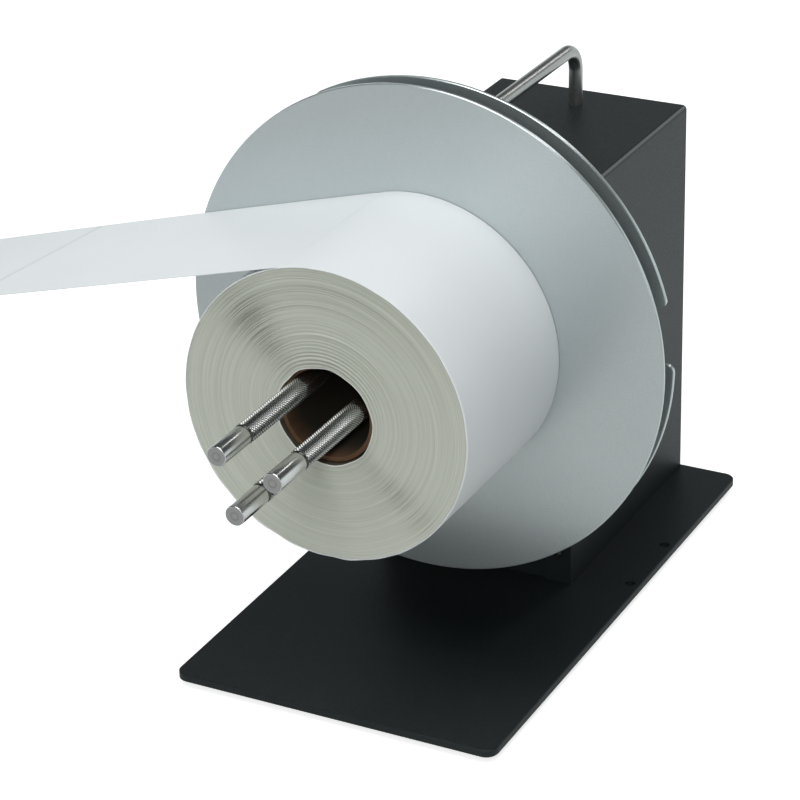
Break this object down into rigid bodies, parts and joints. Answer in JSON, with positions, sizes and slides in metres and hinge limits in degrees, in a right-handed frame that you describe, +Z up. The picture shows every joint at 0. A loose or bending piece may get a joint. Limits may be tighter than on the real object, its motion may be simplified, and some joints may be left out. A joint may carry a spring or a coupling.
{
  "type": "label rewinder",
  "caption": "Motor-driven label rewinder: a black steel housing on a flat base turns a disc whose knurled rods grip the core of a paper roll; a bent rod handle on top.",
  "frame": {"origin": "middle of the four bench holes, on the underside of the base plate", "axes": "-Y to the front, where the rods point; +X to the right seen from the front; +Z up"},
  "size_m": [0.3698, 0.372, 0.2735],
  "materials": {
    "coated_steel": "fine-textured black powder coat",
    "foot_rubber": "matte moulded rubber",
    "zinc_steel": "zinc plated",
    "black_steel": "black oxide",
    "handle_steel": "satin steel rod",
    "machined_aluminium": "machined",
    "bearing_steel": "ground",
    "motor_paint": "satin paint",
    "board_green": "solder resist over glass laminate",
    "black_plastic": "moulded, fine texture",
    "rocker_plastic": "moulded, glossy",
    "felt": "pressed felt",
    "disc_aluminium": "satin grey, with bright turned rims",
    "rod_steel": "diamond knurl with a polished tip",
    "nylon": "machined nylon",
    "wound_paper": "edges of wound paper layers",
    "cardboard": "spiral-wound cardboard",
    "label_web": "smooth coated paper"
  },
  "bodies": {
    "stand": {"base_plate": "coated_steel", "rubber_feet": "foot_rubber", "chassis_bracket": "coated_steel", "housing_cover": "coated_steel", "rear_panel": "coated_steel", "base_screws": "zinc_steel", "front_screws": "black_steel", "rear_screws": "black_steel", "handle": "handle_steel", "handle_nuts": "zinc_steel", "bearing_plate": "machined_aluminium", "bearing_outer_ring": "bearing_steel", "drive_screws": "zinc_steel", "gearbox": "machined_aluminium", "motor": "motor_paint", "control_board": "board_green", "board_posts": "zinc_steel", "board_parts": "black_plastic", "power_inlet": "black_plastic", "inlet_nut": "zinc_steel", "speed_pot": "zinc_steel", "pot_nut": "zinc_steel", "power_switch": "black_plastic", "direction_switch": "black_plastic"},
    "spindle": {"spindle_shaft": "bearing_steel", "bearing_inner_ring": "bearing_steel", "shaft_circlip": "zinc_steel", "hub_flange": "machined_aluminium", "hub_set_screw": "black_steel", "hub_screws": "zinc_steel", "friction_ring": "felt", "disc_pillars": "zinc_steel", "front_disc": "disc_aluminium", "disc_screws": "zinc_steel"},
    "scroll": {"scroll_disc": "disc_aluminium"},
    "label_roll": {"paper_roll": "wound_paper", "roll_core": "cardboard"},
    "web": {"outer_wrap": "label_web", "web_tail": "label_web"},
    "speed_control": {"speed_knob": "black_plastic", "pot_shaft": "bearing_steel"},
    "power_rocker": {"power_rocker": "rocker_plastic"},
    "direction_rocker": {"direction_rocker": "rocker_plastic"},
    "rod_carrier_1": {"rod_1": "rod_steel", "slide_block_1": "nylon", "follower_pin_1": "bearing_steel"},
    "rod_carrier_2": {"rod_2": "rod_steel", "slide_block_2": "nylon", "follower_pin_2": "bearing_steel"},
    "rod_carrier_3": {"rod_3": "rod_steel", "slide_block_3": "nylon", "follower_pin_3": "bearing_steel"}
  },
  "joints": [
    {"name": "spindle_spin", "type": "hinge", "parent": "stand", "child": "spindle", "pos_m": [0, -0.0875, 0.1505], "axis": [0, -1, 0], "continuous": true},
    {"name": "scroll_turn", "type": "hinge", "parent": "spindle", "child": "scroll", "pos_m": [0, -0.0735, 0.1505], "axis": [0, -1, 0], "range_deg": [0, 18.3]},
    {"name": "rod_1_slide", "type": "slide", "parent": "spindle", "child": "rod_carrier_1", "axis": [0.9636, 0, 0.2672], "range_m": [-0.0077, 0]},
    {"name": "rod_2_slide", "type": "slide", "parent": "spindle", "child": "rod_carrier_2", "axis": [-0.7133, 0, 0.7009], "range_m": [-0.0077, 0]},
    {"name": "rod_3_slide", "type": "slide", "parent": "spindle", "child": "rod_carrier_3", "axis": [-0.2504, 0, -0.9681], "range_m": [-0.0077, 0]},
    {"name": "roll_slide", "type": "slide", "parent": "spindle", "child": "label_roll", "axis": [0, -1, 0], "range_m": [0, 0.17]},
    {"name": "web_slide", "type": "slide", "parent": "stand", "child": "web", "axis": [0, -1, 0], "range_m": [0, 0.17]},
    {"name": "speed_knob_turn", "type": "hinge", "parent": "stand", "child": "speed_control", "pos_m": [0, 0.1045, 0.13], "axis": [0, -1, 0], "range_deg": [0, 260]},
    {"name": "power_rocker_tilt", "type": "hinge", "parent": "stand", "child": "power_rocker", "pos_m": [0.018, 0.1025, 0.09], "axis": [-1, 0, 0], "range_deg": [0, 20]},
    {"name": "direction_rocker_tilt", "type": "hinge", "parent": "stand", "child": "direction_rocker", "pos_m": [-0.018, 0.1025, 0.09], "axis": [-1, 0, 0], "range_deg": [-10, 10]}
  ],
  "couplings": [
    {"joint": "rod_1_slide", "follows": "scroll_turn", "m_per_rad": -0.024064},
    {"joint": "rod_2_slide", "follows": "scroll_turn", "m_per_rad": -0.024064},
    {"joint": "rod_3_slide", "follows": "scroll_turn", "m_per_rad": -0.024064},
    {"joint": "web_slide", "follows": "roll_slide", "ratio": 1}
  ]
}
